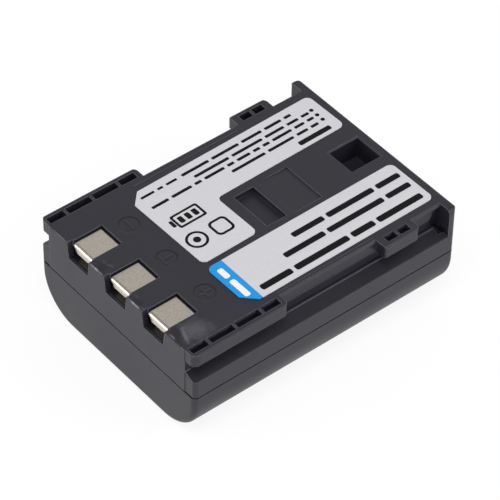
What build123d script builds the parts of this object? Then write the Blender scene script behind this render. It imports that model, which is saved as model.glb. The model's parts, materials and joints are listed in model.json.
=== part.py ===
# Slide-in two-cell lithium-ion camera battery: moulded case, terminals, cells and board.
# X runs from the contact end to the latch end, Y across the pack, Z up to the label face.
# The origin is the middle of the flat underside. Sizes are in millimetres.
from build123d import *
import os
from math import sqrt

# Case
pack_length = 45.2
pack_width = 33.3
pack_height = 16.0
parting_height = 8.3
wall = 0.9
corner_radius = 0.8
bottom_radius = 6.6
top_edge_radius = 0.25
reveal_height = 0.2
reveal_depth = 0.25

# Lip of the tray inside the cover
lip_height = 0.8
lip_thickness = 0.4
lip_gap = 0.05

# Rails along both long sides
plate_inset = 1.9
plate_thickness = 1.95
plate_chamfer = 0.3
groove_depth = 2.65
groove_height = 2.95
shelf_width = 0.65
shelf_rise = 0.87
band_chamfer = 0.12
end_panel_rise = 0.08
back_wall = 1.35
back_corner_radius = 0.8
relief_length = 1.4
relief_slant = 0.45
relief_depth = 0.3
relief_skin = 0.55
shelf_end_gap = 0.95

# Lugs that overhang the rails, with moulded core-outs in their tops
front_lug_length = 15.9
mid_lug_length = 6.25
mid_lug_margin = 6.5
lug_lead_radius = 1.0
lug_back_radius = 0.3
lug_front_radius = 1.2
lug_top_chamfer = 0.25
lug_under_radius = 0.15
core_width = 1.2
core_rim = 0.75
core_depth = 1.35
front_core_ends = (0.5, 0.75)
mid_core_ends = (1.1, 1.1)
rib_thickness = 0.4
rib_pitch = 4.4

# Pockets in the label face
pocket_wall = 0.8
catch_start = 22.8
catch_length = 3.4
catch_width = 7.1
catch_depth = 0.85
ramp_gap = 0.6
ramp_length = 5.45
ramp_width = 7.6
ramp_depth = 0.2
latch_margin = 1.4
latch_length = 5.1
latch_width = 4.8
latch_depth = 3.7
latch_chamfer = 0.2

# Terminals and their windows, open to the label face and the contact end
terminal_pitch = 8.1
terminal_width = 3.9
terminal_thickness = 0.3
terminal_height = 2.35
terminal_bend = 0.5
terminal_back_bend = 0.32
terminal_recess = 0.35
terminal_setback = 0.75
terminal_back_gap = 0.1
terminal_side_gap = 0.25
tab_drop = 1.2
tab_fold = 0.8
tab_foot_width = 2.4
window_length = 5.67
mouth_depth = 2.8
mouth_top_width = 4.85
mouth_bottom_width = 4.15

# Cells and what lies between them
header_space = 1.7
cell_gap = 0.3
tray_gap = 0.15
base_pad_thickness = 0.3
spacer_thickness = 0.25
pad_margin = 2.0
can_edge = 0.3
post_radius = 1.2
post_height = 0.5
tab_offset = 8.0
tab_width = 2.4
tab_height = 1.6
insulator_thickness = 0.2
insulator_inset = 0.4
insulator_gap = 0.2
stop_rib_thickness = 1.0
stop_rib_spacing = 16.0

# Nickel leads
lead_width = 2.0
lead_thickness = 0.15
link_offset = 4.0
negative_offset = 8.0

# Protection board
board_length = 10.0
board_thickness = 0.8
board_paper = 0.25
board_side_gap = 0.3
board_slot_depth = 0.45
board_slot_gap = 0.05
parts_row_gap = 2.7
chip_height = 1.0
chip_standoff = 0.1
pin_thickness = 0.15
controller_body = (2.9, 1.6)
controller_span = 2.8
controller_pins = 3
controller_pin_pitch = 0.95
controller_y = 2.2
switch_body = (3.0, 4.4)
switch_span = 6.4
switch_pins = 4
switch_pin_pitch = 0.65
switch_y = -6.6
pin_width = 0.3
chip_part_length = 1.6
chip_part_width = 0.8
chip_cap_length = 0.3
chip_cap_rise = 0.03
resistor_height = 0.45
capacitor_height = 0.8
thermistor_height = 0.6
thermistor_y = -1.2
chip_part_pitch = 1.7
chip_part_start = 5.0
chip_row_offset = 1.2
resistor_count = 4
capacitor_count = 3

# Stickers on the label face
label_thickness = 0.12
label_front_margin = 11.4
label_back_margin = 1.35
label_corner = 0.9
label_cut = 1.9
notched_side_margin = 2.05
notched_strip = 7.75
notched_step = 20.8
notched_skew = 1.1
long_side_margin = 1.3
long_width = 8.7
long_skew = 0.5
label_gap = 1.15

# Places worked out from the sizes above
half_length = pack_length / 2
half_width = pack_width / 2
contact_end = -half_length
latch_end = half_length
neck = half_width - groove_depth
plate = half_width - plate_inset
plate_under = pack_height - plate_thickness
band_top = plate_under - groove_height
shelf_top = band_top + shelf_rise
shelf_edge = neck + shelf_width
groove_end = latch_end - back_wall

terminal_top = pack_height - terminal_recess
board_top = terminal_top - terminal_height
board_bottom = board_top - board_thickness
board_front = contact_end + wall - board_slot_depth + board_slot_gap
board_width = 2 * (neck - wall - board_side_gap)
parts_row = contact_end + window_length + parts_row_gap

latch_back = latch_end - latch_margin
latch_front = latch_back - latch_length
cell_stop = latch_front - pocket_wall
cell_front = contact_end + wall + header_space
cell_back = cell_stop - cell_gap
lower_cell_bottom = wall + base_pad_thickness
cell_stack = board_bottom - board_paper - lower_cell_bottom
cell_thickness = (cell_stack - spacer_thickness) / 2
upper_cell_bottom = lower_cell_bottom + cell_thickness + spacer_thickness
cell_round = cell_thickness / 2
lower_cell_middle = lower_cell_bottom + cell_round
upper_cell_middle = upper_cell_bottom + cell_round

# The cells are as wide as the neck and the tray's rounded floor both allow
arc_clear = bottom_radius - wall - tray_gap - cell_round
arc_drop = bottom_radius - lower_cell_middle
tray_limit = half_width - bottom_radius + sqrt(arc_clear**2 - arc_drop**2) + cell_round
neck_limit = neck - wall - cell_gap
cell_width = 2 * min(tray_limit, neck_limit)
cell_flat = cell_width - cell_thickness
tray_flat = pack_width - 2 * bottom_radius

lead_back = cell_front - post_height
lead_front = lead_back - lead_thickness

label_front = contact_end + label_front_margin
label_back = latch_end - label_back_margin
long_near = long_side_margin - plate
long_far = long_near + long_width
notched_near = long_far + label_gap
notched_far = plate - notched_side_margin
notched_inner = notched_far - notched_strip


def block(x, y, z):
    """Box between a low and a high limit on each axis."""
    size = [high - low for low, high in (x, y, z)]
    middle = [(high + low) / 2 for low, high in (x, y, z)]
    return Pos(*middle) * Box(*size)


def centred(width):
    """Limits of a width about the middle plane."""
    return (-width / 2, width / 2)


def area(x, y):
    """Rectangle between a low and a high limit on both axes of a sketch."""
    middle = Pos((x[0] + x[1]) / 2, (y[0] + y[1]) / 2)
    return middle * Rectangle(x[1] - x[0], y[1] - y[0])


def along_pack(section, start, end):
    """Extrude a section drawn in Y and Z from one X to another."""
    return extrude(Plane.YZ.offset(start) * section, amount=end - start)


def across_pack(section, low, high):
    """Extrude a section drawn in X and Z from one Y to another."""
    return extrude(Plane.XZ.offset(-high) * section, amount=high - low)


def upright(section, low, high):
    """Extrude a section drawn in X and Y from one Z to another."""
    return extrude(Plane.XY.offset(low) * section, amount=high - low)


def both_sides(shape):
    """The shape and its mirror image on the other long side."""
    return shape + mirror(shape, Plane.XZ)


def corner_at(sketch, x, y):
    """The sketch vertex nearest to a point."""
    return sketch.vertices().sort_by_distance((x, y, 0))[0]


def tray_section(inset):
    """Section of the tray with its two large bottom radii, moved in by an inset."""
    half = half_width - inset
    section = area((-half, half), (inset, parting_height))
    return fillet(section.vertices().group_by(Axis.Y)[0], bottom_radius - inset)


def case_plan(inset):
    """Rounded plan of the case, moved in by an inset."""
    return RectangleRounded(pack_length - 2 * inset, pack_width - 2 * inset, corner_radius - inset)


def ring(inset, low, high, thickness):
    """Upright rim that follows the case plan, its inner face moved in by an inset."""
    x = (contact_end + inset, latch_end - inset)
    y = centred(pack_width - 2 * inset)
    outer_x = (x[0] - thickness, x[1] + thickness)
    outer_y = (y[0] - thickness, y[1] + thickness)
    return block(outer_x, outer_y, (low, high)) - block(x, y, (low - wall, high + wall))


def lower_case():
    """Tray with rounded long edges, a seam reveal, a lip for the cover and two ribs behind the cell."""
    tray = along_pack(tray_section(0), contact_end, latch_end)
    ends = [tray.faces().sort_by(Axis.X)[0], tray.faces().sort_by(Axis.X)[-1]]
    end_edges = [edge for face in ends for edge in face.edges().sort_by(Axis.Z)[:-1]]
    tray = fillet(end_edges, corner_radius)
    reveal = case_plan(-wall) - case_plan(reveal_depth)
    tray -= upright(reveal, parting_height - reveal_height, parting_height)
    tray -= along_pack(tray_section(wall), contact_end + wall, latch_end - wall)
    tray += ring(wall, parting_height - wall, parting_height + lip_height, lip_thickness)
    stop_y = (stop_rib_spacing - stop_rib_thickness) / 2
    stop_top = lower_cell_bottom + cell_thickness
    stop = block(
        (cell_stop, latch_end - wall / 2),
        (stop_y, stop_y + stop_rib_thickness),
        (wall / 2, stop_top),
    )
    return tray + both_sides(stop)


def groove_section():
    """Rail cut on one long side: beside the plate, under it and down to a shelf and a sloping band."""
    outside = half_width + wall
    above = pack_height + wall
    outline = Polyline(
        (plate - plate_chamfer, above),
        (plate - plate_chamfer, pack_height),
        (plate, pack_height - plate_chamfer),
        (plate, plate_under),
        (neck, plate_under),
        (neck, shelf_top),
        (shelf_edge, shelf_top),
        (half_width - band_chamfer, band_top),
        (outside, band_top - band_chamfer - wall),
        (outside, above),
        close=True,
    )
    return make_face(outline)


def lug(start, end, start_radius, core_ends):
    """One overhanging lug on the far side, with its core-outs between thin ribs."""
    plan = area((start, end), (neck, half_width))
    plan = fillet(corner_at(plan, end, half_width), lug_lead_radius)
    plan = fillet(corner_at(plan, start, half_width), start_radius)
    section = area((neck, half_width), (plate_under, pack_height))
    section = chamfer(corner_at(section, half_width, pack_height), lug_top_chamfer)
    section = fillet(corner_at(section, half_width, plate_under), lug_under_radius)
    body = upright(plan, plate_under, pack_height) & along_pack(section, start, end)

    core_y = (half_width - core_rim - core_width, half_width - core_rim)
    low = start + core_ends[0]
    high = end - core_ends[1]
    ribs_each_way = int(((high - low) / 2 - rib_thickness) / rib_pitch)
    steps = range(-ribs_each_way, ribs_each_way + 1)
    ribs = [(low + high) / 2 + step * rib_pitch for step in steps]
    starts = [low] + [rib + rib_thickness / 2 for rib in ribs]
    ends = [rib - rib_thickness / 2 for rib in ribs] + [high]
    for core_x in zip(starts, ends):
        body -= block(core_x, core_y, (pack_height - core_depth, pack_height + wall))
    return body


def cover_block():
    """Outside of the cover before the rails are cut: rounded in plan, end view and side view."""
    body = upright(case_plan(0), parting_height, pack_height)
    end_view = area((-half_width, half_width), (0, pack_height))
    end_view = fillet(end_view.vertices().group_by(Axis.Y)[-1], back_corner_radius)
    side_view = area((contact_end, latch_end), (0, pack_height))
    side_view = fillet(side_view.vertices().group_by(Axis.Y)[-1], top_edge_radius)
    body &= along_pack(end_view, contact_end, latch_end)
    return body & across_pack(side_view, -half_width, half_width)


def relief_outline():
    """Side view of the clearance in the rail's inner corner, up to the wall at the latch end."""
    corner = groove_end - relief_length
    outline = Polyline(
        (corner, pack_height - relief_skin),
        (corner - relief_slant, plate_under),
        (groove_end - shelf_end_gap, shelf_top),
        (groove_end - shelf_end_gap, band_top),
        (groove_end, band_top),
        (groove_end, pack_height - relief_skin),
        close=True,
    )
    return make_face(outline)


def pocket_limits(start, length, width, depth):
    """Limits of a pocket sunk into the label face, open at the top."""
    return (start, start + length), centred(width), (pack_height - depth, pack_height + wall)


def pocket_box(limits):
    """Solid box that gives a pocket its walls and floor inside the cover."""
    x, y, z = limits
    return block(
        (x[0] - pocket_wall, x[1] + pocket_wall),
        (y[0] - pocket_wall, y[1] + pocket_wall),
        (z[0] - pocket_wall, pack_height - wall / 2),
    )


def upper_case():
    """Cover: label plate with lugs over two rails, pockets, terminal windows and a hollow inside."""
    body = cover_block()
    body -= both_sides(along_pack(groove_section(), contact_end - wall, groove_end))
    body -= both_sides(across_pack(relief_outline(), neck - relief_depth, plate + wall))
    mid_lug_end = latch_end - mid_lug_margin
    front_lug = lug(contact_end, contact_end + front_lug_length, lug_front_radius, front_core_ends)
    mid_lug = lug(mid_lug_end - mid_lug_length, mid_lug_end, lug_back_radius, mid_core_ends)
    body += both_sides(front_lug)
    body += both_sides(mid_lug)
    end_flange = block((contact_end, contact_end + wall), (neck - wall, shelf_edge), (band_top, plate_under))
    end_step = block(
        (contact_end - wall, contact_end + end_panel_rise),
        (shelf_edge, half_width + wall),
        (parting_height, pack_height + wall),
    )
    body += both_sides(end_flange)
    body -= both_sides(end_step)

    inside_x = (contact_end + wall, latch_end - wall)
    below = parting_height - wall
    body -= block(inside_x, centred(2 * (neck - wall)), (below, pack_height - wall))
    body -= block(inside_x, centred(pack_width - 2 * wall), (below, band_top - wall))
    rebate_top = parting_height + lip_height + lip_gap
    body -= ring(wall, below, rebate_top, lip_thickness + lip_gap)

    catch_x = contact_end + catch_start
    catch = pocket_limits(catch_x, catch_length, catch_width, catch_depth)
    latch = pocket_limits(latch_front, latch_length, latch_width, latch_depth)
    inside = block(inside_x, centred(2 * neck - wall), (parting_height, pack_height - wall / 2))
    body += pocket_box(catch) & inside
    body += pocket_box(latch) & inside
    body -= block(*catch)
    body -= block(*latch)
    mouth = area(
        (latch_front - latch_chamfer, latch_back + latch_chamfer),
        centred(latch_width + 2 * latch_chamfer),
    )
    body -= extrude(Plane.XY.offset(pack_height) * mouth, amount=-latch_chamfer, taper=45)

    ramp_start = catch_x + catch_length + ramp_gap
    ramp_end = ramp_start + ramp_length
    ramp = make_face(Polyline(
        (ramp_start, pack_height),
        (ramp_end, pack_height - ramp_depth),
        (ramp_end, pack_height + wall),
        (ramp_start, pack_height + wall),
        close=True,
    ))
    body -= across_pack(ramp, -ramp_width / 2, ramp_width / 2)

    board_slot = block(
        (contact_end + wall - board_slot_depth, contact_end + 2 * wall),
        centred(board_width + 2 * board_slot_gap),
        (board_bottom - board_slot_gap, board_top + board_slot_gap),
    )
    body -= board_slot
    mouth = terminal_mouth()
    window_half = terminal_width / 2 + terminal_side_gap
    for y in terminal_rows():
        body -= block(
            (contact_end - wall, contact_end + window_length),
            (y - window_half, y + window_half),
            (pack_height - wall, pack_height + wall),
        )
        body -= along_pack(Pos(y, 0) * mouth, contact_end - wall, contact_end + wall)
    return body


def terminal_rows():
    """Y of the positive, sense and negative terminals."""
    return terminal_pitch, 0, -terminal_pitch


def terminal_mouth():
    """Opening of a window in the end wall, narrower towards its sill."""
    top = pack_height + wall
    sill = pack_height - mouth_depth
    outline = Polyline(
        (-mouth_bottom_width / 2, sill),
        (mouth_bottom_width / 2, sill),
        (mouth_top_width / 2, pack_height),
        (mouth_top_width / 2, top),
        (-mouth_top_width / 2, top),
        (-mouth_top_width / 2, pack_height),
        close=True,
    )
    return make_face(outline)


def terminal(y):
    """Nickel strip folded into a pad with a tapered front tab, standing on the board on two feet."""
    front = contact_end + terminal_setback
    back = contact_end + window_length - terminal_back_gap
    tab_end = terminal_top - tab_drop
    below = board_top - terminal_thickness
    fold_rate = tab_fold / (tab_end - board_top)
    side = make_face(Polyline(
        (front, tab_end),
        (front, terminal_top),
        (back, terminal_top),
        (back, below),
        (front + fold_rate * (tab_end - below), below),
        close=True,
    ))
    side = fillet(corner_at(side, front, terminal_top), terminal_bend)
    side = fillet(corner_at(side, back, terminal_top), terminal_back_bend)
    folded = side - offset(side, -terminal_thickness)
    folded &= area((front, back), (board_top, terminal_top))
    half = terminal_width / 2
    foot = tab_foot_width / 2
    shoulder = terminal_top - terminal_thickness
    end_view = make_face(Polyline(
        (-foot, board_top),
        (foot, board_top),
        (foot, tab_end),
        (half, shoulder),
        (half, terminal_top),
        (-half, terminal_top),
        (-half, shoulder),
        (-foot, tab_end),
        close=True,
    ))
    return across_pack(folded, y - half, y + half) & along_pack(Pos(y, 0) * end_view, front, back)


def cell(middle):
    """Sealed prismatic cell: round-sided can with its post and its welded tab on the header."""
    can = along_pack(Pos(0, middle) * SlotOverall(cell_width, cell_thickness), cell_front, cell_back)
    ends = [can.faces().sort_by(Axis.X)[0], can.faces().sort_by(Axis.X)[-1]]
    can = chamfer([edge for face in ends for edge in face.edges()], can_edge)
    post = along_pack(Pos(0, middle) * Circle(post_radius), lead_back, cell_front + post_height)
    tab = block(
        (lead_back, cell_front + post_height),
        (tab_offset - tab_width / 2, tab_offset + tab_width / 2),
        (middle - tab_height / 2, middle + tab_height / 2),
    )
    return can + post + tab


def cell_insulator(middle):
    """Paper over a cell's header, open around its post and its tab."""
    paper = SlotOverall(cell_width - 2 * insulator_inset, cell_thickness - 2 * insulator_inset)
    paper -= Circle(post_radius + insulator_gap)
    tab_opening = Rectangle(tab_width + 2 * insulator_gap, tab_height + 2 * insulator_gap)
    paper -= Pos(tab_offset, 0) * tab_opening
    return along_pack(Pos(0, middle) * paper, cell_front - insulator_thickness, cell_front)


def flat_pad(width, bottom, thickness):
    """Adhesive pad under the flat of a cell."""
    pad_x = (cell_front + pad_margin, cell_back - pad_margin)
    return block(pad_x, centred(width), (bottom, bottom + thickness))


def strip(y, z):
    """Flat run of nickel lead in front of the cells' posts and tabs."""
    return block((lead_front, lead_back), y, z)


def lead_limits(middle):
    """Limits of a lead's width about its middle."""
    return (middle - lead_width / 2, middle + lead_width / 2)


def negative_lead():
    """From the lower cell's post, sideways and up to the board."""
    low, high = lead_limits(lower_cell_middle)
    run = strip((-negative_offset - lead_width / 2, post_radius), (low, high))
    return run + strip(lead_limits(-negative_offset), (low, board_bottom))


def series_link():
    """From the upper cell's post to the lower cell's tab, with a tap up to the board."""
    low, high = lead_limits(lower_cell_middle)
    link = strip(lead_limits(link_offset), (low, board_bottom))
    link += strip((link_offset, tab_offset + tab_width / 2), (low, high))
    return link + strip((-post_radius, link_offset), lead_limits(upper_cell_middle))


def positive_lead():
    """From the upper cell's tab straight up to the board."""
    return strip(lead_limits(tab_offset), (upper_cell_middle - tab_height / 2, board_bottom))


def protection_board():
    """Board whose front edge sits in a slot of the cover's end wall."""
    board_x = (board_front, board_front + board_length)
    return block(board_x, centred(board_width), (board_bottom, board_top))


def board_insulator():
    """Paper between the upper cell's flat and the board."""
    return block(
        (cell_front + can_edge, board_front + board_length),
        centred(cell_flat),
        (board_bottom - board_paper, board_bottom),
    )


def packaged_chip(y, body, span, pins, pin_pitch):
    """Moulded chip on the board, with a row of pins on each side."""
    length, width = body
    chip = block(
        (parts_row - length / 2, parts_row + length / 2),
        (y - width / 2, y + width / 2),
        (board_top + chip_standoff, board_top + chip_height),
    )
    for index in range(pins):
        pin_x = parts_row + (index - (pins - 1) / 2) * pin_pitch
        chip += block(
            (pin_x - pin_width / 2, pin_x + pin_width / 2),
            (y - span / 2, y + span / 2),
            (board_top, board_top + pin_thickness),
        )
    return chip


def chip_part(x, y, height):
    """Small surface-mounted part with a raised metal cap at each end."""
    body = block(
        (x - chip_part_length / 2 + chip_cap_length, x + chip_part_length / 2 - chip_cap_length),
        (y - chip_part_width / 2 + chip_cap_rise, y + chip_part_width / 2 - chip_cap_rise),
        (board_top, board_top + height - chip_cap_rise),
    )
    for side in (-1, 1):
        middle = x + side * (chip_part_length - chip_cap_length) / 2
        body += block(
            (middle - chip_cap_length / 2, middle + chip_cap_length / 2),
            (y - chip_part_width / 2, y + chip_part_width / 2),
            (board_top, board_top + height),
        )
    return body


def chip_row(x, count, height):
    """Group of equal small parts, side by side along the board."""
    places = [chip_part_start + index * chip_part_pitch for index in range(count)]
    return Compound(children=[chip_part(x, y, height).solid() for y in places])


def sticker(outline, middle_y, skew):
    """Printed label lying on the label face, put on a little askew."""
    middle = Pos((label_front + label_back) / 2, middle_y)
    turned = middle * Rot(0, 0, skew) * middle.inverse() * outline
    return upright(turned, pack_height, pack_height + label_thickness)


def notched_label():
    """L-shaped sticker that leaves the pockets free."""
    step = contact_end + notched_step
    corners = [
        (step, notched_inner),
        (step, notched_near),
        (label_back, notched_inner),
        (label_back, notched_far),
        (label_front, notched_near),
    ]
    outline = area((label_front, label_back), (notched_near, notched_far))
    outline -= area((step, label_back), (notched_near, notched_inner))
    outline = chamfer(corner_at(outline, label_front, notched_far), label_cut)
    outline = fillet([corner_at(outline, x, y) for x, y in corners], label_corner)
    return sticker(outline, (notched_inner + notched_far) / 2, notched_skew)


def long_label():
    """Straight sticker on the near half of the label face."""
    outline = area((label_front, label_back), (long_near, long_far))
    outline = chamfer(corner_at(outline, label_front, long_near), label_cut)
    corners = [(label_front, long_far), (label_back, long_far), (label_back, long_near)]
    outline = fillet([corner_at(outline, x, y) for x, y in corners], label_corner)
    return sticker(outline, (long_near + long_far) / 2, long_skew)


positive_y, sense_y, negative_y = terminal_rows()
nodes = {
    "upper_case": upper_case(),
    "lower_case": lower_case(),
    "positive_terminal": terminal(positive_y),
    "sense_terminal": terminal(sense_y),
    "negative_terminal": terminal(negative_y),
    "notched_label": notched_label(),
    "long_label": long_label(),
    "lower_cell": cell(lower_cell_middle),
    "upper_cell": cell(upper_cell_middle),
    "base_pad": flat_pad(min(cell_flat, tray_flat), wall, base_pad_thickness),
    "cell_spacer": flat_pad(cell_flat, lower_cell_bottom + cell_thickness, spacer_thickness),
    "lower_cell_insulator": cell_insulator(lower_cell_middle),
    "upper_cell_insulator": cell_insulator(upper_cell_middle),
    "negative_lead": negative_lead(),
    "series_link": series_link(),
    "positive_lead": positive_lead(),
    "board_insulator": board_insulator(),
    "protection_board": protection_board(),
    "protection_chip": packaged_chip(
        controller_y, controller_body, controller_span, controller_pins, controller_pin_pitch
    ),
    "switch_transistors": packaged_chip(
        switch_y, switch_body, switch_span, switch_pins, switch_pin_pitch
    ),
    "thermistor": chip_part(parts_row, thermistor_y, thermistor_height),
    "chip_resistors": chip_row(parts_row - chip_row_offset, resistor_count, resistor_height),
    "chip_capacitors": chip_row(parts_row + chip_row_offset, capacitor_count, capacitor_height),
}

os.makedirs("parts", exist_ok=True)
for name, shape in nodes.items():
    export_step(shape, f"parts/{name}.step")
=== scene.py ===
# Looks of a slide-in camera battery: finishes for every CAD piece, label print and moulded pole signs.
# Sizes are in millimetres in the CAD frame, unless a comment says otherwise. MM turns them into metres.
import json
from math import cos, pi, radians, sin

import bpy
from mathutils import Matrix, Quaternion, Vector


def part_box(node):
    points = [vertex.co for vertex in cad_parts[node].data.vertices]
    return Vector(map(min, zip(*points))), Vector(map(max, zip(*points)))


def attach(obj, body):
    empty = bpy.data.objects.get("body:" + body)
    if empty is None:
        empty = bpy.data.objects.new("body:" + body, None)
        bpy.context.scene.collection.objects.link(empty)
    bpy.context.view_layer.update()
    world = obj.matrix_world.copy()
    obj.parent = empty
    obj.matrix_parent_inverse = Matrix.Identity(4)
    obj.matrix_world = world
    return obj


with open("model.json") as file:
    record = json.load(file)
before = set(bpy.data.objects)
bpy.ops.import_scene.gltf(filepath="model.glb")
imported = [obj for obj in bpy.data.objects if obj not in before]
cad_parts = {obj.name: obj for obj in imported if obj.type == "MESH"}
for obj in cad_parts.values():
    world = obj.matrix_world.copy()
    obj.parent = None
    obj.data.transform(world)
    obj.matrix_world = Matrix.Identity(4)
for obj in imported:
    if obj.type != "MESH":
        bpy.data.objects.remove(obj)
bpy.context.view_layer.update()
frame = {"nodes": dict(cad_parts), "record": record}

MM = 0.001

# Camera, fitted to the photograph
CAMERA_PLACE = (-182.99, -219.83, 289.71)
CAMERA_AIM = (0.45, 0.22, 8.47)
CAMERA_ROLL = 0.979
CAMERA_LENS = 212.64
CAMERA_NEAREST = 10.0

# Lamps: place and width in metres, power in watts
LAMPS = {
    "left_lamp": ((-0.52, 0.36, 0.137), 0.35, 1.05),
    "right_lamp": ((0.29, -0.46, 0.35), 0.3, 0.7),
    "top_lamp": ((-0.2, -0.15, 0.7), 0.4, 2.3),
}

# Direction in which the surroundings are greyer, and the floor's width in metres
BACK_LEFT = (-0.7, 0.7, 0.0)
FLOOR_WIDTH = 6.0

# Label face of the case, and the top of the stickers on it
CASE_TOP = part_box("upper_case")[1][2] / MM
STICKER_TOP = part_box("long_label")[1][2] / MM

# Pole signs moulded beside the terminals: a plus, a T and a minus
SIGN_X = -14.05
SIGN_ROWS = {"plus": -8.1, "sense": 0.0, "minus": 8.1}
SIGN_LINE = 0.3
SIGN_RISE = 0.1
SIGN_ROUND = 0.09
SIGN_ARM = 1.0
T_BAR = -0.65

# Shallow round dish about each sign, drawn by bump: radii of its slope and of the painted shade at its foot,
# and its depth
DISH_SLOPE = (1.32, 1.7)
DISH_SHADE = (1.35, 1.55)
DISH_DEPTH = 0.055

# Thin raised lines along the label face beside the stickers: start, end and place across
EDGE_LINES = {"far": (-9.2, 9.0, 13.65), "near": (-6.7, 9.8, -14.05)}
EDGE_LINE_WIDTH = 0.1
EDGE_LINE_RISE = 0.04
EDGE_LINE_ROUND = 0.03

# Ink on the stickers, and the middle and degrees by which each sticker is turned
INK_RISE = 0.012
INK_SINK = 0.02
NOTCHED_TURN = ((5.025, 8.825), 1.1)
LONG_TURN = ((5.025, -9.1), 0.5)

# Words are plain bars; the round of a bar's corners is a share of its height
WORD_GAP = 0.6
WORD_ROUND = 0.3

# Rows of the notched sticker: place across, bar height, where the row starts and ends, word lengths
NOTCHED_ROWS = [
    (5.95, 0.85, 19.5, 13.8, (1,)),
    (7.55, 0.5, 18.65, 3.1, (2, 3, 7, 9)),
    (8.85, 0.5, 18.9, -9.8, (2, 3, 6, 2, 2, 4, 2, 6, 2, 6, 5)),
    (10.0, 0.5, 19.0, -1.5, (2, 3, 5, 8, 9)),
    (11.3, 0.5, 16.8, -2.7, (2, 5, 6, 8, 8)),
    (11.25, 0.42, -3.6, -9.8, (4, 2, 5)),
]
BULLETS = [(19.65, 10.15), (19.65, 8.93), (19.65, 7.75)]
BULLET_RADIUS = 0.32

# Rows of the long sticker
LONG_ROWS = [
    (-7.1, 0.95, 20.6, 1.6, (3, 6, 4)),
    (-9.4, 0.95, 20.5, -1.7, (3, 7, 5)),
    (-12.05, 1.05, 20.3, -7.9, (6, 3, 7, 4)),
]

# Picture of a battery: middle, length, width and line, and its charge bars as shares of their pitch
BATTERY_MIDDLE = (-6.95, 4.7)
BATTERY_SIZE = (4.6, 2.7)
BATTERY_LINE = 0.36
CHARGE_BARS = 3
CHARGE_SPREAD = 0.93
CHARGE_HALF = 0.3

# The battery's cap, in line widths out from the frame
CAP_NEAR = 0.3
CAP_FAR = 1.8

# Ring with a dot in it, and a rounded square: low and high limits and corner radius, outside and inside
RING_MIDDLE = (-8.95, 0.4)
RING_RADII = (1.6, 1.22, 0.55)
SQUARE_OUTLINES = [(-6.25, -1.1, -3.25, 1.9, 0.8), (-5.87, -0.72, -3.63, 1.52, 0.5)]

# Blue end of the long sticker, and the two white bars on it
BAND_END = -8.7
BAND_BAR_X = (-10.45, -9.55)
BAND_BAR_ROWS = [(-7.9, -5.9), (-12.1, -8.5)]
BAND_BAR_ROUND = 0.3

# Bottom and top of the gap between the case halves, where shade is painted
SEAM = (8.06, 8.34)

# Wear and painted highlights on the label face: middle, reach along each axis, turn, solid share, raggedness
# and tone
WEAR_AND_HIGHLIGHT_MARKS = [
    ((-22.0, 4.2, 16.0), (1.2, 1.5, 0.6), 0, 0.3, 0.8, "#19181f"),
    ((-20.9, 4.5, 16.0), (0.25, 0.5, 0.4), 0, 0.2, 0.8, "#3a3941"),
    ((-20.65, 3.4, 16.0), (0.25, 0.65, 0.4), 25, 0.2, 0.8, "#3f3e46"),
    ((-22.1, -4.0, 16.0), (1.0, 1.4, 0.6), 0, 0.3, 0.8, "#19181f"),
    ((-21.45, -3.2, 16.0), (0.25, 0.6, 0.4), 0, 0.2, 0.8, "#3a3941"),
    ((-22.2, -5.3, 16.0), (0.25, 0.6, 0.4), 19, 0.2, 0.8, "#3f3e46"),
    # Painted highlights along the front top edges of the bridges and of the far corner
    ((-22.5, 4.0, 15.9), (0.16, 1.7, 0.2), 0, 0.2, 0.8, "#85848e"),
    ((-22.5, -4.1, 15.9), (0.16, 1.7, 0.2), 0, 0.2, 0.8, "#85848e"),
    ((-22.5, 12.0, 15.9), (0.16, 1.9, 0.2), 0, 0.1, 0.8, "#5c5b64"),
    ((-19.4, -12.6, 16.0), (3.1, 2.3, 0.8), -12, 0.25, 0.5, "#4b4a52"),
    ((-20.75, -12.3, 16.0), (0.4, 2.0, 0.6), -23, 0.2, 0.6, "#5d5c66"),
    ((-21.75, -11.9, 16.0), (0.85, 2.0, 0.6), -23, 0.6, 0.7, "#1a1920"),
    # Painted highlight on the front top edge of the scuffed corner
    ((-22.3, -11.8, 16.0), (0.18, 0.75, 0.5), 0, 0.3, 0.5, "#6c6b75"),
]

# Painted shade on the slope of a rail and a painted highlight on the edge of the shelf above it, for the far
# rail
RAIL_SHADE_AND_HIGHLIGHT = [
    ((0, 15.59, 11.53), (60, 1.5, 0.75), 0, 0.75, 0.1, "#10111a"),
    ((0, 14.62, 11.97), (60, 0.2, 0.15), 0, 0.3, 0.15, "#55545d"),
]

# Steps in a rounded corner and in a circle
ROUND_STEPS = 6
CIRCLE_STEPS = 48


def linear(hex_colour):
    """Linear RGBA of an sRGB hex colour."""
    channels = [int(hex_colour[i:i + 2], 16) / 255 for i in (1, 3, 5)]
    return [c / 12.92 if c <= 0.04045 else ((c + 0.055) / 1.055) ** 2.4 for c in channels] + [1.0]


def fill(node, inputs):
    """Give each input another node's output, a hex colour or a plain value."""
    for name, value in inputs.items():
        if isinstance(value, bpy.types.NodeSocket):
            node.id_data.links.new(value, node.inputs[name])
        elif isinstance(value, str):
            node.inputs[name].default_value = linear(value)
        else:
            node.inputs[name].default_value = value


def add(tree, kind, inputs=None, **settings):
    """Add one node with its settings and inputs."""
    node = tree.nodes.new(kind)
    for name, value in settings.items():
        setattr(node, name, value)
    fill(node, inputs or {})
    return node


def new_material(name):
    """Empty node material with its tree and its Principled shader."""
    material = bpy.data.materials.new(name)
    material.use_nodes = True
    tree = material.node_tree
    return material, tree, tree.nodes["Principled BSDF"]


def per_mm(size):
    """Texture scale that gives features of this size in millimetres."""
    return 1 / (size * MM)


def between(limits):
    """Middle and half width, in metres, of a low and a high limit."""
    low, high = limits
    return (low + high) / 2 * MM, (high - low) / 2 * MM


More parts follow.
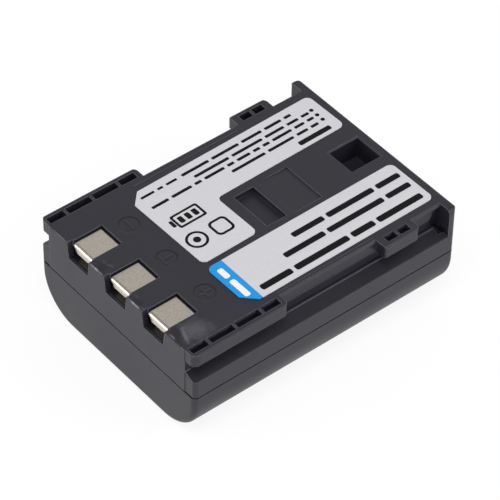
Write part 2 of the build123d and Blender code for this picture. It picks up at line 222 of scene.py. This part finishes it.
def spot(tree, place, tatter, centre, reach, turn, inner, ragged):
    """Share of a marked spot, used for wear, painted shade and painted highlights: 1 inside its oval, fading
    to 0 at a ragged rim.
    """
    oval = add(tree, "ShaderNodeMapping", {
        "Vector": place, "Location": Vector(centre) * MM, "Rotation": (0, 0, radians(turn)),
        "Scale": Vector(reach) * MM}, vector_type="TEXTURE")
    away = add(tree, "ShaderNodeVectorMath", {0: oval.outputs["Vector"]}, operation="LENGTH")
    rim = add(tree, "ShaderNodeMath", {0: tatter, 1: ragged, 2: away.outputs["Value"]},
              operation="MULTIPLY_ADD")
    share = add(tree, "ShaderNodeMapRange", {
        "Value": rim.outputs["Value"], "From Min": 1.0, "From Max": inner})
    return share.outputs["Result"]


def moulded_abs():
    """Charcoal ABS from a spark-eroded mould: matt and finely grained, with a painted highlight along its
    edges.
    Its near front corner is scuffed, the bridges between the windows are smudged at the front with painted
    highlights on their front edges, painted shade lies on the rails' slopes and in the seam with a painted
    highlight on each shelf edge, and each pole sign has a shallow bumped dish round it with painted shade at
    its foot."""
    material, tree, shader = new_material("moulded_abs")
    place = add(tree, "ShaderNodeTexCoord").outputs["Object"]
    # The grain is drawn about three times as coarse as it is, so that it shows
    grain = add(tree, "ShaderNodeTexNoise", {"Vector": place, "Scale": per_mm(0.22), "Detail": 2.0})
    cloud = add(tree, "ShaderNodeTexNoise", {"Vector": place, "Scale": per_mm(9.0), "Detail": 3.0})
    colour = add(tree, "ShaderNodeMix", {
        "Factor": cloud.outputs["Fac"], "A": "#1e1d26", "B": "#282731"}, data_type="RGBA")

    tatter = add(tree, "ShaderNodeTexNoise", {"Vector": place, "Scale": per_mm(0.8), "Detail": 4.0})
    tatter = add(tree, "ShaderNodeMapRange", {
        "Value": tatter.outputs["Fac"], "To Min": -1.0, "To Max": 1.0})
    both_rails_painted_light = [((x, side * y, z), *shape) for (x, y, z), *shape in RAIL_SHADE_AND_HIGHLIGHT for side in (1, -1)]
    for centre, reach, turn, inner, ragged, tone in WEAR_AND_HIGHLIGHT_MARKS + both_rails_painted_light:
        share = spot(tree, place, tatter.outputs["Result"], centre, reach, turn, inner, ragged)
        colour = add(tree, "ShaderNodeMix", {
            "Factor": share, "A": colour.outputs["Result"], "B": tone}, data_type="RGBA")

    # Painted highlight on edges that stand out, for the shine of their rounded rims; inner corners keep
    # their tone
    rounded = add(tree, "ShaderNodeBevel", {"Radius": 0.18 * MM}, samples=8)
    facing = add(tree, "ShaderNodeNewGeometry").outputs["Normal"]
    bend = add(tree, "ShaderNodeVectorMath", {0: rounded.outputs["Normal"], 1: facing},
               operation="DOT_PRODUCT")
    edge = add(tree, "ShaderNodeMapRange", {
        "Value": bend.outputs["Value"], "From Min": 0.99, "From Max": 0.75})
    open_air = add(tree, "ShaderNodeAmbientOcclusion", {"Distance": 0.4 * MM}, samples=8, only_local=True)
    proud = add(tree, "ShaderNodeMapRange", {
        "Value": open_air.outputs["AO"], "From Min": 0.65, "From Max": 0.9})
    painted_edge_highlight = add(tree, "ShaderNodeMath", {0: edge.outputs["Result"], 1: proud.outputs["Result"]},
                 operation="MULTIPLY")
    colour = add(tree, "ShaderNodeMix", {
        "Factor": painted_edge_highlight.outputs["Value"], "A": colour.outputs["Result"], "B": "#6e6e77"},
        data_type="RGBA")

    # Painted shade in the gap between the case halves
    height = add(tree, "ShaderNodeSeparateXYZ", {"Vector": place}).outputs["Z"]
    middle, half = between(SEAM)
    seam_shade = add(tree, "ShaderNodeMath", {0: height, 1: middle, 2: half}, operation="COMPARE")
    colour = add(tree, "ShaderNodeMix", {
        "Factor": seam_shade.outputs["Value"], "A": colour.outputs["Result"], "B": "#08080a"}, data_type="RGBA")

    # Painted shade at the foot of the dish about each pole sign; the nearest sign counts
    distances = [add(tree, "ShaderNodeVectorMath", {0: place, 1: Vector((SIGN_X, y, CASE_TOP)) * MM},
                     operation="DISTANCE") for y in SIGN_ROWS.values()]
    nearest = distances[0]
    for distance in distances[1:]:
        nearest = add(tree, "ShaderNodeMath", {0: distance.outputs["Value"], 1: nearest.outputs["Value"]},
                      operation="MINIMUM")
    middle, half = between(DISH_SHADE)
    dish_shade = add(tree, "ShaderNodeMath", {0: nearest.outputs["Value"], 1: middle, 2: half},
               operation="COMPARE")
    colour = add(tree, "ShaderNodeMix", {
        "Factor": dish_shade.outputs["Value"], "A": colour.outputs["Result"], "B": "#0e0e13"}, data_type="RGBA")
    foot, rim = DISH_SLOPE
    slope = add(tree, "ShaderNodeMapRange", {
        "Value": nearest.outputs["Value"], "From Min": foot * MM, "From Max": rim * MM},
        interpolation_type="SMOOTHSTEP")
    dish = add(tree, "ShaderNodeBump", {
        "Height": slope.outputs["Result"], "Normal": rounded.outputs["Normal"],
        "Strength": 1.0, "Distance": DISH_DEPTH * MM})

    bump = add(tree, "ShaderNodeBump", {
        "Height": grain.outputs["Fac"], "Normal": dish.outputs["Normal"],
        "Strength": 0.25, "Distance": 0.03 * MM})
    rough = add(tree, "ShaderNodeMapRange", {
        "Value": cloud.outputs["Fac"], "To Min": 0.38, "To Max": 0.56})
    fill(shader, {"Base Color": colour.outputs["Result"], "Roughness": rough.outputs["Result"],
                  "Normal": bump.outputs["Normal"], "IOR": 1.48})
    return material


def silver_vinyl(name, banded):
    """Silver vinyl sticker: satin with fine metal flake, white where the cut edge shows its film.
    The banded one is printed blue at its front end."""
    material, tree, shader = new_material(name)
    place = add(tree, "ShaderNodeTexCoord").outputs["Object"]
    flake = add(tree, "ShaderNodeTexNoise", {"Vector": place, "Scale": per_mm(0.25), "Detail": 2.0})
    colour = add(tree, "ShaderNodeMix", {
        "Factor": flake.outputs["Fac"], "A": "#cccbd0", "B": "#d8d7dc"}, data_type="RGBA")
    facing = add(tree, "ShaderNodeNewGeometry").outputs["Normal"]
    upward = add(tree, "ShaderNodeSeparateXYZ", {"Vector": facing}).outputs["Z"]
    cut = add(tree, "ShaderNodeMapRange", {"Value": upward, "From Min": 0.7, "From Max": 0.3})
    colour = add(tree, "ShaderNodeMix", {
        "Factor": cut.outputs["Result"], "A": colour.outputs["Result"], "B": "#f4f4f6"}, data_type="RGBA")
    if banded:
        along = add(tree, "ShaderNodeSeparateXYZ", {"Vector": place}).outputs["X"]
        blue = add(tree, "ShaderNodeMath", {0: along, 1: BAND_END * MM}, operation="LESS_THAN")
        colour = add(tree, "ShaderNodeMix", {
            "Factor": blue.outputs["Value"], "A": colour.outputs["Result"], "B": "#0494e2"},
            data_type="RGBA")
    bump = add(tree, "ShaderNodeBump", {
        "Height": flake.outputs["Fac"], "Strength": 0.1, "Distance": 0.01 * MM})
    fill(shader, {"Base Color": colour.outputs["Result"], "Normal": bump.outputs["Normal"],
                  "Roughness": 0.45})
    return material


def plain_finish(name, colour, roughness, metallic=0.0, fleck=0.3, contrast=0.12, gloss=0.5):
    """Finish with fine flecks of lighter and darker tone, as a rolled, pressed or printed surface has."""
    material, tree, shader = new_material(name)
    place = add(tree, "ShaderNodeTexCoord").outputs["Object"]
    flecks = add(tree, "ShaderNodeTexNoise", {"Vector": place, "Scale": per_mm(fleck), "Detail": 3.0})
    base = linear(colour)[:3]
    darker = [c * (1 - contrast) for c in base] + [1.0]
    lighter = [min(1.0, c * (1 + contrast)) for c in base] + [1.0]
    tone = add(tree, "ShaderNodeMix", {
        "Factor": flecks.outputs["Fac"], "A": darker, "B": lighter}, data_type="RGBA")
    bump = add(tree, "ShaderNodeBump", {
        "Height": flecks.outputs["Fac"], "Strength": 0.15, "Distance": 0.02 * MM})
    fill(shader, {"Base Color": tone.outputs["Result"], "Normal": bump.outputs["Normal"],
                  "Roughness": roughness, "Metallic": metallic, "Specular IOR Level": gloss})
    return material


FINISHES = {
    "case_plastic": moulded_abs(),
    # Warm satin nickel with a clear grain from rolling
    "terminal_metal": plain_finish("nickel_plated_strip", "#dbd2c6", roughness=0.28, metallic=1.0,
                                   fleck=0.2, contrast=0.35),
    "label_vinyl": silver_vinyl("silver_vinyl", banded=False),
    # Pale grey can with a soft sheen
    "cell_can": plain_finish("drawn_aluminium", "#d0d1d3", roughness=0.35, metallic=1.0, fleck=0.5),
    # Off-white tape, matt and finely pitted
    "adhesive_foam": plain_finish("foam_tape", "#dad6c8", roughness=0.9, fleck=0.15),
    # Grey-green paper, matt and fibrous
    "insulating_paper": plain_finish("fibre_paper", "#b3bda8", roughness=0.85),
    # Warm grey strip with a satin shine
    "lead_nickel": plain_finish("rolled_nickel", "#cfcabf", roughness=0.3, metallic=1.0),
    # Near-black board, painted dark as shade so the gaps under the terminals stay dark
    "board_laminate": plain_finish("solder_mask", "#0d0a08", roughness=0.5, fleck=0.4),
    # Black package, matt from the mould
    "chip_epoxy": plain_finish("moulded_epoxy", "#1d1d1e", roughness=0.6, fleck=0.1),
    # Brown body with a dull shine
    "chip_ceramic": plain_finish("fired_ceramic", "#8c6f4c", roughness=0.5, fleck=0.1),
}
NODE_FINISHES = {"long_label": silver_vinyl("banded_silver_vinyl", banded=True)}
# Flat black and bright white print
BLACK_INK = plain_finish("black_screen_ink", "#0b0b0d", roughness=0.55, gloss=0.15)
WHITE_INK = plain_finish("white_screen_ink", "#f2f4f6", roughness=0.5, contrast=0.03)

for subpart in frame["record"]["subparts"]:
    node = frame["nodes"][subpart["node"]]
    finish = NODE_FINISHES.get(subpart["node"], FINISHES[subpart["material_slot"]])
    node.material_slots[0].material = finish


def rounded_plate(x0, y0, x1, y1, radius):
    """Outline of a rectangle with rounded corners."""
    outline = []
    corners = [(x1 - radius, y1 - radius), (x0 + radius, y1 - radius),
               (x0 + radius, y0 + radius), (x1 - radius, y0 + radius)]
    for quarter, (x, y) in enumerate(corners):
        for step in range(ROUND_STEPS + 1):
            angle = (quarter + step / ROUND_STEPS) * pi / 2
            outline.append((x + radius * cos(angle), y + radius * sin(angle)))
    return outline


def disc(x, y, radius):
    """Outline of a circle."""
    angles = [2 * pi * step / CIRCLE_STEPS for step in range(CIRCLE_STEPS)]
    return [(x + radius * cos(angle), y + radius * sin(angle)) for angle in angles]


def word_row(y, height, start, end, words):
    """Outlines of one print row: a bar for each word, its ends rounded."""
    room = start - end - WORD_GAP * (len(words) - 1)
    bars = []
    x = start
    for word in words:
        length = room * word / sum(words)
        bars.append(rounded_plate(x - length, y - height / 2, x, y + height / 2, height * WORD_ROUND))
        x -= length + WORD_GAP
    return bars


def askew(outlines, sticker_turn):
    """Outlines turned with their sticker, which was put on a little askew."""
    (x0, y0), degrees = sticker_turn
    turn = radians(degrees)
    return [[(x0 + (x - x0) * cos(turn) - (y - y0) * sin(turn),
              y0 + (x - x0) * sin(turn) + (y - y0) * cos(turn)) for x, y in outline]
            for outline in outlines]


def flat_piece(name, outlines, bottom, top, finish, edge=0.0):
    """Thin plate with these outlines, where one inside another is a hole; edge rounds its rims."""
    data = bpy.data.curves.new(name, "CURVE")
    data.dimensions = "2D"
    data.fill_mode = "BOTH"
    data.extrude = ((top - bottom) / 2 - edge) * MM
    data.bevel_depth = edge * MM
    data.bevel_resolution = 1
    data.offset = -edge * MM
    for outline in outlines:
        spline = data.splines.new("POLY")
        spline.points.add(len(outline) - 1)
        for point, (x, y) in zip(spline.points, outline):
            point.co = (x * MM, y * MM, 0, 1)
        spline.use_cyclic_u = True
    data.materials.append(finish)
    piece = bpy.data.objects.new(name, data)
    piece.location.z = (bottom + top) / 2 * MM
    bpy.context.scene.collection.objects.link(piece)
    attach(piece, "root")


def print_piece(name, outlines, finish):
    """Layer of ink on a sticker."""
    flat_piece(name, outlines, STICKER_TOP - INK_SINK, STICKER_TOP + INK_RISE, finish)


def battery_picture():
    """Plain picture of a battery: a frame with a cap and charge bars."""
    x, y = BATTERY_MIDDLE
    length, width = BATTERY_SIZE
    line = BATTERY_LINE
    front = x - length / 2
    back = x + length / 2
    low = y - width / 2
    high = y + width / 2
    outlines = [rounded_plate(front, low, back, high, line),
                rounded_plate(front + line, low + line, back - line, high - line, line / 2),
                rounded_plate(front - line * CAP_FAR, y - width / 4,
                              front - line * CAP_NEAR, y + width / 4, line / 2)]
    pitch = (length - 2 * line) / CHARGE_BARS
    for charge in range(CHARGE_BARS):
        middle = x + (charge - (CHARGE_BARS - 1) / 2) * pitch * CHARGE_SPREAD
        outlines.append(rounded_plate(middle - pitch * CHARGE_HALF, low + 2 * line,
                                      middle + pitch * CHARGE_HALF, high - 2 * line, line / 2))
    return outlines


def label_print():
    """All print on the two stickers."""
    outlines = []
    for row in NOTCHED_ROWS:
        outlines += word_row(*row)
    outlines += [disc(x, y, BULLET_RADIUS) for x, y in BULLETS]
    outlines += battery_picture()
    outlines += [disc(*RING_MIDDLE, radius) for radius in RING_RADII]
    outlines += [rounded_plate(*limits) for limits in SQUARE_OUTLINES]
    print_piece("notched_label_print", askew(outlines, NOTCHED_TURN), BLACK_INK)

    outlines = []
    for row in LONG_ROWS:
        outlines += word_row(*row)
    print_piece("long_label_print", askew(outlines, LONG_TURN), BLACK_INK)

    front, back = BAND_BAR_X
    bars = [rounded_plate(front, low, back, high, BAND_BAR_ROUND) for low, high in BAND_BAR_ROWS]
    print_piece("band_print", askew(bars, LONG_TURN), WHITE_INK)


def pole_signs():
    """Raised signs, moulded with the case."""
    half = SIGN_LINE / 2
    arm = SIGN_ARM
    outlines = {
        "plus": [(arm, half), (half, half), (half, arm), (-half, arm), (-half, half), (-arm, half),
                 (-arm, -half), (-half, -half), (-half, -arm), (half, -arm), (half, -half), (arm, -half)],
        "sense": [(T_BAR - half, -arm), (T_BAR + half, -arm), (T_BAR + half, -half), (arm, -half),
                  (arm, half), (T_BAR + half, half), (T_BAR + half, arm), (T_BAR - half, arm)],
        "minus": [(-half, -arm), (half, -arm), (half, arm), (-half, arm)],
    }
    for name, y in SIGN_ROWS.items():
        outline = [(SIGN_X + dx, y + dy) for dx, dy in outlines[name]]
        flat_piece(name + "_sign", [outline], CASE_TOP - SIGN_RISE, CASE_TOP + SIGN_RISE,
                   FINISHES["case_plastic"], SIGN_ROUND)


def edge_lines():
    """Fine lines moulded along both sides of the label face."""
    half = EDGE_LINE_WIDTH / 2
    for side, (start, end, y) in EDGE_LINES.items():
        outline = [(start, y - half), (end, y - half), (end, y + half), (start, y + half)]
        flat_piece(side + "_edge_line", [outline], CASE_TOP - SIGN_RISE, CASE_TOP + EDGE_LINE_RISE,
                   FINISHES["case_plastic"], EDGE_LINE_ROUND)


def white_floor():
    """Paper sweep: it lights the pack as matt white paper does, and looks white apart from a soft shadow."""
    bpy.ops.mesh.primitive_plane_add(size=FLOOR_WIDTH, location=(0, 0, 0))
    floor = bpy.context.object
    floor.name = "floor"
    material, tree, shader = new_material("white_paper")
    fill(shader, {"Base Color": "#f4f4f4", "Roughness": 0.9, "Specular IOR Level": 0.0})
    rays = add(tree, "ShaderNodeLightPath").outputs
    seen = add(tree, "ShaderNodeMath", {0: rays["Is Camera Ray"], 1: rays["Is Glossy Ray"]},
               operation="MAXIMUM")
    seen = add(tree, "ShaderNodeMath", {0: seen.outputs["Value"], 1: rays["Is Transmission Ray"]},
               operation="MAXIMUM")
    shaded = add(tree, "ShaderNodeBsdfDiffuse", {"Color": (0.16, 0.16, 0.16, 1)})
    glow = add(tree, "ShaderNodeEmission", {"Strength": 0.86})
    white = add(tree, "ShaderNodeAddShader", {0: shaded.outputs["BSDF"], 1: glow.outputs["Emission"]})
    either = add(tree, "ShaderNodeMixShader", {
        0: seen.outputs["Value"], 1: shader.outputs["BSDF"], 2: white.outputs["Shader"]})
    fill(tree.nodes["Material Output"], {"Surface": either.outputs["Shader"]})
    floor.data.materials.append(material)


def studio_world():
    """Surroundings that are white at the horizon, and greyer overhead and to the back left."""
    world = bpy.data.worlds.new("studio")
    bpy.context.scene.world = world
    world.use_nodes = True
    tree = world.node_tree
    direction = add(tree, "ShaderNodeTexCoord").outputs["Generated"]
    height = add(tree, "ShaderNodeSeparateXYZ", {"Vector": direction}).outputs["Z"]
    fade = add(tree, "ShaderNodeMapRange", {
        "Value": height, "From Min": 0.45, "From Max": 0.95, "To Min": 1.0, "To Max": 0.1})
    leftward = add(tree, "ShaderNodeVectorMath", {0: direction, 1: BACK_LEFT}, operation="DOT_PRODUCT")
    dimmed = add(tree, "ShaderNodeMapRange", {
        "Value": leftward.outputs["Value"], "From Max": 0.85, "To Min": 1.0, "To Max": 0.6})
    strength = add(tree, "ShaderNodeMath", {0: fade.outputs["Result"], 1: dimmed.outputs["Result"]},
                   operation="MULTIPLY")
    fill(tree.nodes["Background"], {"Color": (1, 1, 1, 1), "Strength": strength.outputs["Value"]})


def lamp(name, place, width, power):
    """Square soft lamp that faces the pack."""
    data = bpy.data.lights.new(name, "AREA")
    data.size = width
    data.energy = power
    lamp_object = bpy.data.objects.new(name, data)
    lamp_object.location = place
    lamp_object.rotation_euler = (-Vector(place)).to_track_quat("-Z", "Y").to_euler()
    bpy.context.scene.collection.objects.link(lamp_object)


def photo_camera():
    """Camera at the photograph's viewing angle."""
    data = bpy.data.cameras.new("camera")
    data.lens = CAMERA_LENS
    data.clip_start = CAMERA_NEAREST * MM
    camera = bpy.data.objects.new("camera", data)
    place = Vector(CAMERA_PLACE) * MM
    aim = Vector(CAMERA_AIM) * MM
    camera.location = place
    roll = Quaternion((0, 0, 1), radians(CAMERA_ROLL))
    camera.rotation_euler = ((aim - place).to_track_quat("-Z", "Y") @ roll).to_euler()
    bpy.context.scene.collection.objects.link(camera)
    bpy.context.scene.camera = camera


label_print()
pole_signs()
edge_lines()
white_floor()
studio_world()
for lamp_name, (lamp_place, lamp_width, lamp_power) in LAMPS.items():
    lamp(lamp_name, lamp_place, lamp_width, lamp_power)
photo_camera()
bpy.context.scene.view_settings.view_transform = "Standard"
